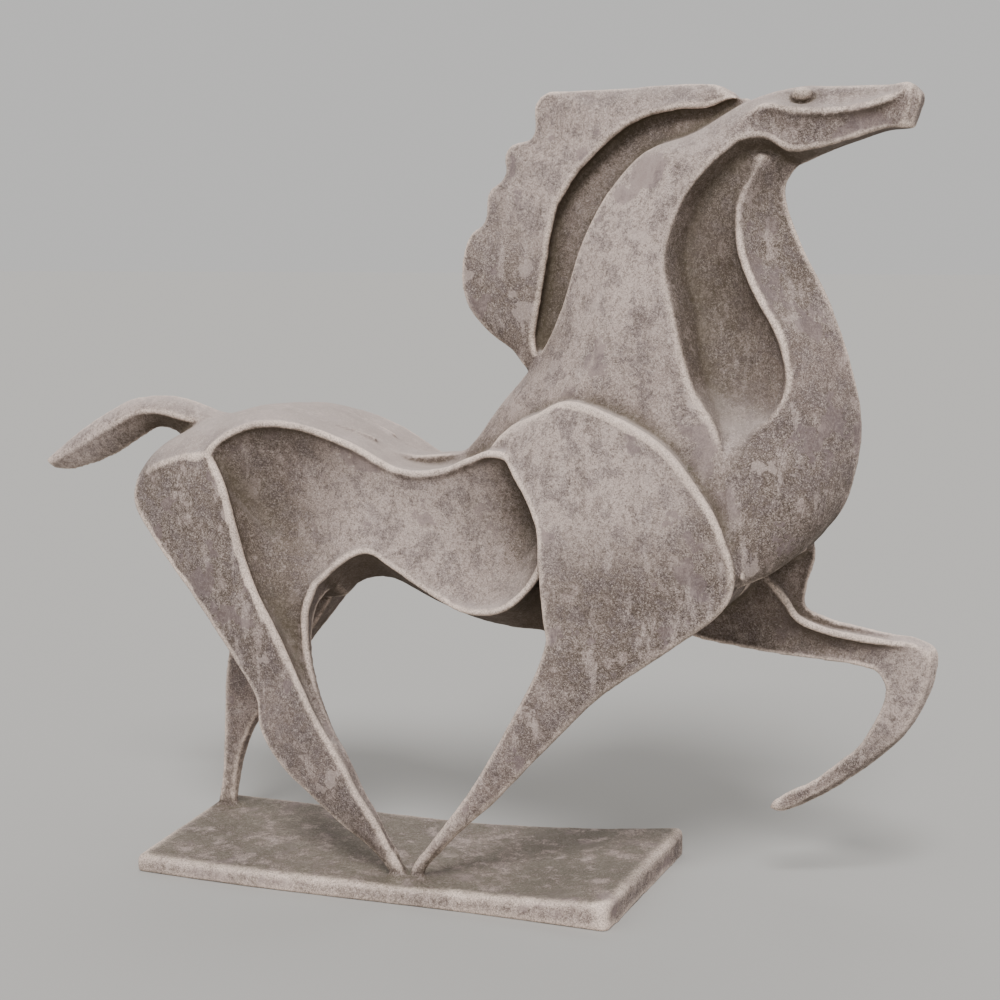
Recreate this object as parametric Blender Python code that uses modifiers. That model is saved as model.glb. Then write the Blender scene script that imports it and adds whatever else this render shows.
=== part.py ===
"""Stone horse statue: a prancing horse carved in one with its low plinth.

Metres, +Z up. The origin is on the underside of the plinth, the horse faces +X
and its near side is -Y.
"""
import bmesh
import bpy
import numpy as np
from mathutils import Matrix, Vector

# Driving sizes, in metres
HORSE_LENGTH = 0.490        # tail tip to raised knee
PLINTH_LENGTH = 0.266
PLINTH_THICKNESS = 0.009    # at the tail end
PLINTH_RISE = 0.0050        # extra thickness at the head end
PLINTH_TAIL_MARGIN = 0.002  # plinth left behind the far hind hoof
PLINTH_NEAR_MARGIN = 0.0095 # plinth left outside the near hooves
PLINTH_FAR_MARGIN = 0.0185  # and outside the far one
PLINTH_FLARE = 0.014        # how far the far edge swings out at the head end
PLINTH_BOW = 0.006          # swell of the head end
PLINTH_TAIL_SKEW = -0.010   # how far the far corner lies ahead of the near one, tail end
PLINTH_HEAD_SKEW = 0.003    # and head end
PLINTH_WAVE = 0.0015        # hand-made waviness of the long edges
PLINTH_WAVE_SHIFT = 0.26    # share of its length that the near edge's wave lags the far one's
PLINTH_EDGE = 0.0033        # rounding of the plinth's edges

# The horse's form is given in shares of its length: one unit is 1/490 of it,
# measured forward, to the far side, and up from the top of the plinth.
UNIT = HORSE_LENGTH / 490.0
GROUND = PLINTH_THICKNESS
STANCE_BACK = 127 * UNIT    # the standing hooves reach this far back
NEAR_STANCE = 54 * UNIT     # and this far out on each side
FAR_STANCE = 36 * UNIT
PLINTH_TAIL_END = -STANCE_BACK - PLINTH_TAIL_MARGIN
PLINTH_NEAR_EDGE = NEAR_STANCE + PLINTH_NEAR_MARGIN
PLINTH_FAR_EDGE = FAR_STANCE + PLINTH_FAR_MARGIN
PLINTH_DEPTH = PLINTH_NEAR_EDGE + PLINTH_FAR_EDGE

# Fineness: the grain that joins the forms, and the faces kept
GRAIN = 1.6 * UNIT
SMOOTHING = 4
FACES_KEPT = 0.026
PATH_STEP = 4.0             # units along a form
EDGE_CUTS = 6
BEAD_SIDES = 8
BEAD_DEPTH = 0.65           # how far a ridge's centre lies inside its corner, in radii
RIDGE = 2.2                 # radius of a worn ridge, in units
ARC_RIDGE = 2.9             # of the bold one round the shoulder plate
RIM = 1.8                   # radius of a thinner edge, in units
PLINTH_CUTS = 15
PLINTH_EDGE_STEPS = 3
UNDERCUT = 0.0012           # stone below the flat underside, cut away

EYE_PLACE = (212, 12, 387)
EYE_RADII = (5.8, 6.2, 4.2)
MOUNDS = ((26, -49, 13), (-120, 35, 9))    # place and reach of each hoof's mound
MOUND_HEIGHT = 2.5

STONE = (0.24, 0.20, 0.18, 1.0)
STONE_ROUGHNESS = 0.85


def both_sides(stations):
    """Close half rings into whole ones: the near half, then the far half back."""
    return [ring + [(x, -y, z) for x, y, z in reversed(ring) if y != 0] for ring in stations]


def along(values, knots, where):
    """Cubic curve through values at knots, slopes from the parabola through neighbours."""
    gaps = np.diff(knots)
    shape = (-1,) + (1,) * (values.ndim - 1)
    steps = np.diff(values, axis=0) / gaps.reshape(shape)
    before, after = gaps[:-1].reshape(shape), gaps[1:].reshape(shape)
    middle = (steps[:-1] * after + steps[1:] * before) / (before + after)
    slopes = np.concatenate([steps[:1], middle, steps[-1:]])
    k = np.clip(np.searchsorted(knots, where, side="right") - 1, 0, len(gaps) - 1)
    h = gaps[k].reshape(shape)
    t = ((where - knots[k]) / gaps[k]).reshape(shape)
    a, b = values[k], values[k + 1]
    return (a * (2 * t**3 - 3 * t**2 + 1) + b * (3 * t**2 - 2 * t**3)
            + slopes[k] * h * (t**3 - 2 * t**2 + t) + slopes[k + 1] * h * (t**3 - t**2))


def unit(vectors):
    return vectors / (np.linalg.norm(vectors, axis=-1, keepdims=True) + 1e-9)


def skin(points):
    """Closed body over a grid of rings: quads between rings and a fan over each end."""
    rows, around = points.shape[:2]
    hubs = points[[0, -1]].mean(axis=1)
    first = np.arange(around)
    a = np.arange(rows - 1)[:, None] * around + first
    b = np.arange(rows - 1)[:, None] * around + np.roll(first, -1)
    quads = np.stack([a, b, b + around, a + around], axis=2).reshape(-1, 4)
    faces = [tuple(q) for q in quads.tolist()]
    for hub, start in ((rows * around, 0), (rows * around + 1, (rows - 1) * around)):
        faces += [(start + i, start + (i + 1) % around, hub) for i in range(around)]
    return np.vstack([points.reshape(-1, 3), hubs]), faces


def bead(rail, inward, radius):
    """Rounded edge: a tube that stands a little proud of a corner and sinks as it thins."""
    forward = unit(np.gradient(rail, axis=0))
    across = unit(np.cross(forward, inward))
    inward = np.cross(across, forward)
    turn = np.linspace(0, 2 * np.pi, BEAD_SIDES, endpoint=False).reshape(1, -1, 1)
    radius = np.maximum(radius, 0.05).reshape(-1, 1, 1)
    centre = rail + inward * (BEAD_DEPTH * radius + radius.max() - radius)[:, 0]
    spokes = np.cos(turn) * inward[:, None] + np.sin(turn) * across[:, None]
    return skin(centre[:, None] + radius * spokes)


def loft(stations, swell, beads):
    """Closed body through rings of corners, and the beads along its corners.

    Each corner runs on a smooth curve from ring to ring. Each side of a ring is
    an arc between its corners, whose rise, out of the body, is read from swell:
    one value a side, or one row of them a station. Beads holds the radius of the
    rounded edge at each corner in the same way, 0 where the corner has none.
    """
    rings = np.array(stations, float)
    full = np.ones(rings.shape[:2])
    chords = np.linalg.norm(np.diff(rings, axis=0), axis=2).mean(axis=1)
    knots = np.concatenate([[0], np.cumsum(chords)])
    where = np.linspace(0, knots[-1], int(np.ceil(knots[-1] / PATH_STEP)) + 1)
    ring = along(rings, knots, where)
    rise = along(np.array(swell, float) * full, knots, where)
    radii = along(np.array(beads, float) * full, knots, where)
    forward = np.gradient(ring, axis=0)

    following = np.roll(ring, -1, axis=1)
    outward = unit(np.cross(following - ring, forward + np.roll(forward, -1, axis=1)))
    centre = ring.mean(axis=1, keepdims=True)
    side = np.sign(np.sum(outward * ((ring + following) / 2 - centre), axis=2, keepdims=True))
    outward *= side

    t = (np.arange(EDGE_CUTS) / EDGE_CUTS).reshape(1, 1, -1, 1)
    points = (ring[:, :, None] * (1 - t) + following[:, :, None] * t
              + outward[:, :, None] * rise[:, :, None, None] * 4 * t * (1 - t))
    bodies = [skin(points.reshape(len(where), -1, 3))]
    inward = unit(unit(following - ring) + unit(np.roll(ring, 1, axis=1) - ring))
    for corner in np.flatnonzero(radii.max(axis=0) > 0):
        bodies.append(bead(ring[:, corner], inward[:, corner], radii[:, corner]))
    return bodies


def slab_between(outer, inner, outer_back, inner_back):
    """Rings of a band: its face runs from the outer to the inner rail, its back behind."""
    return [
        [o, i, (i[0], ib, i[2]), (o[0], ob, o[2])]
        for o, i, ob, ib in zip(outer, inner, outer_back, inner_back)
    ]


def near_flank():
    """Hollow face from the near hind hoof, up the thigh and along the belly to the shoulder."""
    outer = [
        (24, -52, -4), (23, -52, 3), (17, -53, 15), (10, -55, 29), (1, -56, 42), (-8, -56, 57),
        (-20, -56, 75), (-31, -55, 94), (-44, -54, 119), (-61, -52, 148), (-71, -50, 175),
        (-79, -48, 199), (-86, -46, 213), (-76, -45, 222), (-61, -44, 228), (-38, -42, 228),
        (-12, -38, 220), (14, -34, 207), (38, -33, 207), (56, -37, 214), (68, -41, 218),
        (80, -41, 216), (91, -38, 211), (100, -34, 205),
    ]
    inner = [
        (27, -47, -4), (25, -47, 4), (16.5, -48, 13), (8.5, -48, 24), (0.5, -48, 38), (-8, -47, 53),
        (-17, -46, 71), (-26, -44, 90), (-32, -42, 112), (-33, -41, 131), (-30, -40, 141),
        (-28, -38, 146), (-25, -37, 149), (-21, -36, 153), (-16, -36, 157), (-8, -35, 162),
        (0, -34, 163), (11, -34, 157), (35, -36, 144), (57, -41, 137), (75, -45, 140),
        (86, -46, 148), (94, -46, 159), (97, -44, 171),
    ]
    back = [-46, -46, -45, -45, -44, -43, -41, -39, -35, -28, -15, -5] + [0] * 12
    sag = [0, 0, 1, 1.5, 2, 2.5, 3, 4, 6, 8, 10, 12, 13, 13, 12, 10, 6, 4, 6, 11, 16, 18, 17, 14]
    rim = [RIM] * 3 + [RIDGE] * 21
    return loft(slab_between(outer, inner, back, back), [[-s, 0, 0, 0] for s in sag],
                [[r, r, 0, 0] for r in rim])


def far_flank():
    """The same hollow face on the far side, with its leg stepping back."""
    outer = [
        (-121, 36, -4), (-121, 36, 3), (-118.3, 38, 20), (-114.5, 40, 40), (-109.5, 42, 62),
        (-102, 44, 82), (-94, 46, 100), (-85, 48, 125), (-80, 50, 150), (-80, 50, 175),
        (-83, 48, 199), (-86, 46, 213), (-76, 45, 222), (-61, 44, 228), (-38, 42, 228),
        (-12, 38, 220), (14, 34, 207), (38, 33, 207), (56, 37, 214), (68, 41, 218),
        (84, 40, 214), (100, 34, 210),
    ]
    inner = [
        (-116, 33, -4), (-116, 33, 3), (-114.5, 34, 16), (-110.5, 35, 34), (-102, 36, 52),
        (-92, 36, 66), (-85, 37, 78), (-69, 38, 100), (-53, 38, 120), (-40, 38, 136),
        (-33, 38, 145), (-25, 37, 149), (-21, 36, 153), (-16, 36, 157), (-8, 35, 162),
        (0, 34, 163), (11, 34, 157), (35, 36, 144), (57, 40, 138), (76, 42, 140),
        (88, 40, 151), (98, 36, 166),
    ]
    back = [29, 29, 29, 29, 29, 29, 28, 26, 20, 10, 4] + [0] * 11
    sag = [0, 0, 1, 1, 1.5, 2, 3, 5, 8, 10, 12, 13, 13, 12, 10, 6, 4, 6, 8, 11, 15, 15]
    return loft(slab_between(outer, inner, back, back), [[-s, 0, 0, 0] for s in sag],
                [RIDGE, RIDGE, 0, 0])


def near_haunch():
    """Flat back face of the near haunch and leg, from the rump's edge to its ridge."""
    edge = [
        (-135, -34, 196), (-134.7, -38, 186), (-120.5, -42, 165), (-97, -45, 138), (-72, -47, 106),
        (-58, -48, 85), (-56, -49, 70), (-43, -49, 51), (-27, -49, 38), (-10, -49, 25),
        (8, -49, 13), (19, -50, 0), (20, -50, -4),
    ]
    ridge = [
        (-86, -46, 213), (-79, -48, 199), (-71, -50, 175), (-61, -52, 148), (-44, -54, 119),
        (-31, -55, 94), (-20, -56, 75), (-8, -56, 57), (1, -56, 42), (10, -55, 29),
        (17, -53, 15), (23, -52, 3), (24, -52, -4),
    ]
    back = [0, 0, -8, -18, -30, -37, -40, -42, -44, -45, -45, -46, -46]
    return loft(slab_between(edge, ridge, back, back), [1, 0, 0, 0], [RIDGE, 0, 0, 0])


def far_haunch():
    """Back face of the far haunch, down to its upright cannon."""
    edge = [
        (-135, 34, 196), (-136, 38, 186), (-134, 41, 165), (-123, 42, 138), (-115, 41, 112),
        (-117.5, 40, 90), (-120.3, 38, 77), (-121.3, 37, 56), (-122.3, 36, 30),
        (-123.7, 35, 14), (-126, 35, 0), (-126, 35, -4),
    ]
    ridge = [
        (-86, 46, 213), (-83, 48, 199), (-80, 50, 175), (-80, 50, 150), (-85, 48, 125),
        (-94, 46, 100), (-102, 44, 82), (-109.5, 42, 62), (-114.5, 40, 40), (-118.3, 38, 20),
        (-121, 36, 3), (-121, 36, -4),
    ]
    back = [0, 0, 4, 12, 22, 28, 29, 29, 29, 29, 29, 29]
    return loft(slab_between(edge, ridge, back, back), [1, 0, 0, 0], [RIDGE, 0, 0, 0])


def torso():
    """Rump, croup and loin above, belly below: crown, crease, top and lower ridge, keel."""
    half = [
        [(-147, 0, 191), (-145, -15, 193), (-135, -34, 196), (-134, -34, 184), (-144, 0, 178)],
        [(-136, 0, 208), (-133, -17, 209), (-124, -38, 202), (-118, -34, 165), (-120, 0, 150)],
        [(-118, 0, 221), (-112, -18, 221), (-104, -42, 209), (-80, -34, 155), (-80, 0, 136)],
        [(-96, 0, 229), (-92, -22, 227), (-86, -46, 213), (-27, -34, 149), (-30, 0, 133)],
        [(-76, 0, 234), (-74, -22, 232), (-75, -45, 222), (-20, -33, 155), (-26, 0, 138)],
        [(-58, 0, 235), (-58, -22, 234), (-60, -44, 228), (-14, -33, 160), (-20, 0, 142)],
        [(-36, 0, 232), (-38, -20, 230), (-37, -42, 228), (-6, -32, 163), (-14, 0, 144)],
        [(-16, 0, 223), (-14, -14, 221), (-12, -38, 220), (0, -31, 163), (-8, 0, 145)],
        [(4, 0, 213), (8, -9, 212), (14, -34, 207), (11, -31, 158), (2, 0, 143)],
        [(24, 0, 211.5), (28, -8, 212), (38, -33, 207), (35, -33, 145), (25, 0, 133)],
        [(42, 0, 215), (44, -8, 215), (56, -37, 214), (57, -36, 139), (46, 0, 126)],
        [(62, 0, 228), (64, -12, 227), (74, -38, 218), (76, -36, 140), (65, 0, 123)],
        [(85, 0, 246), (88, -15, 245), (95, -38, 225), (92, -32, 150), (84, 0, 122)],
        [(110, 0, 246), (112, -15, 245), (115, -34, 232), (110, -36, 146), (112, 0, 121)],
        [(150, 0, 235), (150, -15, 233), (150, -34, 215), (150, -42, 146), (150, 0, 132)],
        [(190, 0, 220), (190, -15, 218), (190, -32, 200), (187, -40, 162), (184, 0, 152)],
    ]
    groove = [1, 2, 2, 2, 2, 2, 1, -2, -6, -8, -6, 0, 0, 0, 0, 0]
    waist = [-2, -4, -10, -18, -18, -17, -15, -12, -10, -12, -18, -22, -22, -14, -10, -6]
    swell = [[0.3, g, w, 0, 0, w, g, 0.3] for g, w in zip(groove, waist)]
    shelf = [0.8, 1.3, 1.3, 1.2] + [0] * 12
    crease = [0] * 7 + [0.5, 1, 1, 0.8, 0] + [0] * 4
    beads = [[0, RIM * c, RIDGE * t, 0, 0, 0, RIDGE * t, RIM * c]
             for t, c in zip(shelf, crease)]
    return loft(both_sides(half), swell, beads)


def shoulder(rear, front, back):
    """Flat shoulder plate between its rear and its front edge."""
    fade = [0, 0.6] + [1] * (len(rear) - 2)
    return loft(slab_between(rear, front, back, back), [1.5, 0, 0, 0],
                [[RIDGE * f, ARC_RIDGE * f, 0, 0] for f in fade])


PLATE_REAR = [
    (64, -34, 218), (72, -38, 216), (80, -44, 209), (87, -48, 200), (93, -51, 190),
    (96, -52, 183), (97, -53, 174), (98, -53, 159), (99, -53, 147), (100, -52, 136),
]
PLATE_FRONT = [
    (78, -31, 232), (91, -38, 237), (107, -45, 243), (136, -51, 236), (161, -52, 221),
    (171, -52, 209), (181, -52, 195), (187, -51, 181), (191, -49, 168), (189, -48, 154),
]


def near_foreleg():
    """Near shoulder plate, tapering back and down into the planted foreleg."""
    rear = PLATE_REAR + [
        (101, -52, 127), (95, -52, 110), (80, -52, 81), (60, -52, 47), (39, -51, 18),
        (29, -50, 2), (29, -50, -4),
    ]
    front = PLATE_FRONT + [
        (161, -49, 129), (131, -50, 107), (103, -50, 79), (73.5, -50, 47), (46.5, -50, 21),
        (33, -49, 2), (33, -49, -4),
    ]
    back = [0] * 9 + [-6, -20, -34, -38, -41, -43, -44, -44]
    return shoulder(rear, front, back)


def far_shoulder():
    """Far shoulder plate, rounded off below, where the raised foreleg leaves it."""
    rear = [(x, -y, z) for x, y, z in PLATE_REAR] + [(110, 46, 128)]
    front = [(x, -y, z) for x, y, z in PLATE_FRONT] + [(165, 44, 132)]
    return shoulder(rear, front, [0] * 11)


def raised_foreleg():
    """Far foreleg lifted forward, bent at the knee: upper edge, ridge, lower edge, far side."""
    rings = [
        [(200, 30, 195), (175, 12, 160), (148, 26, 122), (170, 46, 170)],
        [(216, 24, 168), (194, 10, 154), (160, 24, 119), (192, 44, 150)],
        [(212.5, 22, 150), (204, 10, 145), (178, 22, 117), (200, 42, 138)],
        [(212, 22, 140), (210, 12, 136), (195, 22, 115), (207, 40, 131)],
        [(222, 23, 135), (220, 14, 131), (210, 22, 114), (219, 39, 127)],
        [(237, 24, 131.5), (236, 16, 127.5), (229, 22, 113), (235, 38, 124)],
        [(254, 25, 128.5), (253, 18, 125.5), (243, 23, 111), (250, 37, 121)],
        [(268, 26, 126.5), (267, 20, 124), (249, 24, 108), (262, 37, 119)],
        [(276, 27, 122), (273, 21, 120), (252, 24, 103), (266, 37, 114)],
        [(276, 28, 109), (273, 22, 109), (252, 25, 96), (265, 37, 104)],
        [(271.5, 29, 95), (269, 23, 95), (248, 25, 85), (261, 37, 91)],
        [(263.5, 30, 80), (262, 24, 80), (240.5, 26, 71), (253, 36, 77)],
        [(250, 30, 65), (247, 25, 66), (226, 27, 57), (239, 36, 62)],
        [(236, 30, 53), (233, 26, 54), (214, 27, 47), (225, 35, 50)],
        [(222, 31, 43), (219, 26, 44), (206, 27, 43), (213, 35, 43)],
        [(207, 31, 34), (205, 27, 35), (201, 28, 40), (205, 34, 37)],
        [(198, 31, 31), (197, 28, 32), (196, 28, 36), (198, 32, 33)],
        [(194, 30, 32), (194, 29, 33), (194, 29, 34), (194, 31, 33)],
    ]
    sag = [0, 0, 3, 4, 4, 3, 2, 0] + [-0.5] * 5 + [0] * 5
    hoof = [1] * 16 + [0.9, 0.6]
    ridge = [1.2] * 6 + [1.1, 0.9, 0.6] + [0.35] * 7 + [0.3, 0.3]
    return loft(rings, [[-s * 0.8, -s, 0, 0] for s in sag],
                [[RIM * h, RIM * r, RIM * h, RIM * h] for h, r in zip(hoof, ridge)])


def neck_and_head():
    """Band from the withers up the neck into the head: crest, cheek and jaw edges, underside."""
    half = [
        [(30, -6, 204), (114, -44, 213), (196, -45, 162), (200, 0, 175)],
        [(46, -8, 219), (112, -43, 233), (192, -44, 200), (200, 0, 200)],
        [(62, -10, 239), (113, -40, 247), (180, -40, 232), (190, 0, 230)],
        [(81, -12, 260), (119, -38, 264), (167, -38, 253), (178, 0, 253)],
        [(96, -19, 284), (127, -36, 288), (157, -36, 288), (168, 0, 288)],
        [(109, -21, 321), (133, -32, 318), (152, -32, 313), (162, 0, 313)],
        [(122, -20, 344), (143, -28, 339), (158, -29, 336), (168, 0, 334)],
        [(140, -17, 363), (157, -25, 358), (170, -27, 354), (178, 0, 350)],
        [(160, -15, 370), (172, -21, 367), (177, -24, 361), (188, 0, 356)],
        [(182, -10, 383), (187, -18, 377), (185, -21, 367), (194, 0, 357)],
        [(194, -8, 388), (195, -17, 382), (195, -17, 368), (200, 0, 356)],
        [(210, -8, 391), (208, -16.5, 380), (207, -14, 362), (209, 0, 355)],
        [(223, -7, 391), (222, -15.5, 379), (219, -12, 363), (219, 0, 359)],
        [(241, -6, 391), (242, -13.5, 381), (234, -10, 367), (232, 0, 364)],
        [(253, -7, 391), (254, -12.5, 385), (250, -8, 371), (250, 0, 370)],
        [(261, -7, 391.7), (261, -10, 388), (259, -8, 371), (259, 0, 371)],
        [(266, -5, 387), (266, -7, 383), (262, -6, 371), (262, 0, 371)],
    ]
    crest = [0, 0, 0.5, 1, 1, 1, 1, 0.8, 0.4, 0, 0.4, 0.6, 0.6, 0.6, 0.6, 0.4, 0]
    cheek = [0] * 8 + [0.5, 0.9, 1.2, 1.2, 1.2, 1.2, 1, 0.5, 0]
    jaw = [0, 0, 0.2, 0.7, 0.7, 0.7, 0.8] + [1] * 7 + [0.8, 0.3, 0]
    beads = [[RIM * c, RIM * h, RIDGE * j, 0, RIDGE * j, RIM * h, RIM * c]
             for c, h, j in zip(crest, cheek, jaw)]
    round_off = [1, 2, 3, 2, 1, 0.5, 0.5, 0.5, 0.5, 0] + [-0.6] * 5 + [0.5, 0.5]
    face = [2, 3, 2, 2] + [1] * 5 + [0] + [-1.4] * 5 + [0, 0]
    return loft(both_sides(half), [[n, f, 0, 0, f, n, 0] for n, f in zip(round_off, face)], beads)


def muzzle_rims():
    """Raised edge around each side of the muzzle, from the nose down to the chin."""
    rail = np.array([(260, -7, 391), (261.5, -9.5, 388.5), (262, -9.5, 384), (260.5, -9, 378),
                     (258, -8, 371)], float)
    inward = np.tile([-1.0, 0.6, 0.0], (len(rail), 1))
    flip = np.array([1.0, -1.0, 1.0])
    radii = np.full(len(rail), RIM)
    return [bead(rail, inward, radii), bead(rail * flip, inward * flip, radii)]


def prow():
    """Throat and chest: the hollow's bed, the S-shaped ridge and the front keel."""
    half = [
        [(181, -14, 362), (194, -12, 360), (209, 0, 357)],
        [(158, -18, 341), (185, -17, 337), (202, 0, 343)],
        [(149, -20, 316), (187, -22, 315), (210, 0, 319)],
        [(150, -22, 292), (195, -25, 297), (224, 0, 292)],
        [(157, -25, 269), (209, -27, 272), (234.5, 0, 264)],
        [(164, -28, 252), (212, -28, 251), (240, 0, 242)],
        [(171, -33, 241), (206, -31, 238), (241, 0, 229)],
        [(178, -38, 231), (195, -35, 229), (240, 0, 217)],
        [(178, -41, 220), (188, -41, 220), (238, 0, 207)],
        [(184, -43, 200), (194, -43, 201), (234, 0, 195)],
        [(188, -44, 181), (197, -43, 182), (228, 0, 186)],
        [(188, -45, 160), (196, -42, 163), (219, 0, 177)],
        [(150, -42, 146), (160, -22, 148), (170, 0, 152)],
    ]
    hollow = [-2, -5, -9, -11, -11, -9, -6, -2, 0, 0, 0, 0, 0]
    front = [0, -1.5, -2, -1, 1, 3, 5, 8, 10, 10, 8, 4, 0]
    crease = [0, 0.7, 1, 1, 1, 1, 0.9, 0.6, 0, 0, 0, 0, 0]
    keel = [1] * 12 + [0]
    beads = [[0, RIDGE * c, RIDGE * k, RIDGE * c, 0] for c, k in zip(crease, keel)]
    return loft(both_sides(half), [[h, f, f, h, 0] for h, f in zip(hollow, front)], beads)


def mane():
    """Upright mane plate with stepped locks down its back edge: back edge, groove edge."""
    half = [
        [(177, -3, 388), (180, -8, 386)],
        [(171, -4, 392), (176, -8, 386)],
        [(162, -4, 393.4), (170, -9, 384)],
        [(130, -5, 392.3), (153, -11, 383)],
        [(97, -5, 391.3), (133, -13, 378)],
        [(83, -5, 391), (124, -14, 373)],
        [(79, -5, 387), (119, -14, 369)],
        [(78, -5, 372), (109, -14, 360)],
        [(76, -5, 369), (106, -14, 357)],
        [(67, -5, 367), (104, -14, 355)],
        [(63, -5, 363), (100, -14, 350)],
        [(63, -5, 352), (94, -14, 341)],
        [(61, -5, 349), (92, -14, 338)],
        [(56, -5, 346), (91, -14, 335)],
        [(53, -5, 341), (89, -14, 326)],
        [(52, -5, 330), (87, -14, 316)],
        [(50, -5, 327), (87, -14, 313)],
        [(45, -5, 324), (86, -14, 310)],
        [(40.5, -5, 313), (85, -14, 303)],
        [(39.5, -5, 298), (83, -14, 291)],
        [(44.5, -5, 285), (81, -14, 279)],
        [(54, -5, 275), (80, -13, 273)],
        [(66, -6, 267), (81, -12, 265)],
        [(74, -6, 258), (86, -11, 256)],
        [(85, -6, 245), (95, -11, 246)],
    ]
    lip = [0.3, 0.5, 0.8] + [1] * (len(half) - 3)
    return loft(both_sides(half), [1, 0, 1, 0],
                [[RIM, RIDGE * k, RIDGE * k, RIM] for k in lip])


def crest_groove():
    """Bed of the crescent groove between the mane and the neck, shallower at the neck."""
    half = [
        [(184, -3, 387), (192, -7, 379)],
        [(173, -3, 386), (186, -8, 372)],
        [(148, -4, 386), (169, -9, 362)],
        [(126, -5, 380), (149, -10, 353)],
        [(109, -5, 369), (131, -11, 337)],
        [(97, -5, 357), (118, -12, 315)],
        [(83, -5, 336), (110, -12, 295)],
        [(77, -5, 312), (104, -11, 278)],
        [(68, -6, 292), (96, -11, 264)],
        [(66, -8, 274), (91, -11, 253)],
        [(72, -10, 260), (88, -11, 246)],
    ]
    return loft(both_sides(half), [-1.5, 0, -1.5, 0], 0)


def tail():
    """Short tail swept back and down: top, side ridge, underside."""
    half = [
        [(-80, 0, 228), (-78, -10, 222), (-82, 0, 200)],
        [(-102, 0, 229), (-101, -10, 223), (-108, 0, 206)],
        [(-121, 0, 235), (-120, -9, 226), (-126, 0, 216)],
        [(-137, 0, 237), (-134, -9, 229), (-140, 0, 220)],
        [(-156, 0, 235), (-148, -8, 229), (-152, 0, 214)],
        [(-175, 0, 226), (-164, -8, 222), (-169, 0, 204)],
        [(-193, 0, 215), (-185, -6, 211), (-187, 0, 197)],
        [(-209, 0, 203), (-205, -4, 201), (-204, 0, 194)],
        [(-214, 0, 199), (-212, -2, 198), (-210, 0, 195)],
    ]
    return loft(both_sides(half), [1.5, 0.6, 0.6, 1.5], [RIM, RIDGE, 0.5 * RIM, RIDGE])


def horse_mesh(bm):
    """All the forms of the horse, each a closed body that runs into its neighbours."""
    forms = (near_flank, far_flank, near_haunch, far_haunch, torso, near_foreleg, far_shoulder,
             raised_foreleg, neck_and_head, muzzle_rims, prow, mane, crest_groove, tail)
    for form in forms:
        for points, faces in form():
            points = points * UNIT + (0, 0, GROUND)
            verts = [bm.verts.new(p) for p in points.tolist()]
            for face in faces:
                bm.faces.new([verts[i] for i in face])


def ball(bm, place, radii):
    """Ball stretched to its three radii, placed in the horse's units."""
    centre = Matrix.Translation(Vector(place) * UNIT + Vector((0, 0, GROUND)))
    shape = Matrix.Diagonal([r * UNIT for r in radii] + [1])
    bmesh.ops.create_uvsphere(bm, u_segments=16, v_segments=8, radius=1, matrix=centre @ shape)


def eyes(bm):
    """A low lens-shaped eye on each side of the head."""
    x, y, z = EYE_PLACE
    for side in (-y, y):
        ball(bm, (x, side, z), EYE_RADII)


def hoof_mounds(bm):
    """Low swellings of the plinth where the hooves are carved into it."""
    for x, y, reach in MOUNDS:
        ball(bm, (x, y, 0), (reach, 0.75 * reach, MOUND_HEIGHT))


def plinth(bm):
    """Thin slab with wavy long edges, thicker, wider and bowed out at its head end."""
    slab = bmesh.new()
    bmesh.ops.create_cube(slab, size=1)
    bmesh.ops.subdivide_edges(slab, edges=slab.edges[:], cuts=PLINTH_CUTS, use_grid_fill=True)
    for v in slab.verts:
        along_it, across_it, up = v.co.x, v.co.y, v.co.z + 0.5
        ahead = max(0.0, 2 * along_it)
        top = PLINTH_THICKNESS + PLINTH_RISE * ahead ** 2
        swell = PLINTH_BOW * (1 - 4 * across_it ** 2) * ahead
        skew = (PLINTH_HEAD_SKEW * (along_it + 0.5) + PLINTH_TAIL_SKEW * (0.5 - along_it))
        lag = PLINTH_WAVE_SHIFT * (0.5 - across_it)
        wave = PLINTH_WAVE * np.cos(2 * np.pi * (along_it - lag)) * 2 * across_it
        flare = PLINTH_FLARE * ahead ** 2 * (across_it + 0.5)
        v.co = (
            PLINTH_TAIL_END + (along_it + 0.5) * PLINTH_LENGTH + swell + skew * across_it,
            (across_it + 0.5) * PLINTH_DEPTH - PLINTH_NEAR_EDGE + flare - wave,
            up * (top + UNDERCUT) - UNDERCUT,
        )
    rim = [e for e in slab.edges if len(e.link_faces) == 2 and e.calc_face_angle() > 1.0]
    bmesh.ops.bevel(slab, geom=rim, offset=PLINTH_EDGE, segments=PLINTH_EDGE_STEPS,
                    profile=0.5, affect="EDGES")
    block = bpy.data.meshes.new("plinth_slab")
    slab.to_mesh(block)
    slab.free()
    bm.from_mesh(block)
    bpy.data.meshes.remove(block)


def stone():
    material = bpy.data.materials.new("weathered_stone")
    material.use_nodes = True
    shader = material.node_tree.nodes["Principled BSDF"]
    shader.inputs["Base Color"].default_value = STONE
    shader.inputs["Roughness"].default_value = STONE_ROUGHNESS
    shader.inputs["Metallic"].default_value = 0.0
    return material


def collection(name):
    group = bpy.data.collections.new(name)
    bpy.context.scene.collection.children.link(group)
    return group


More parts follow.
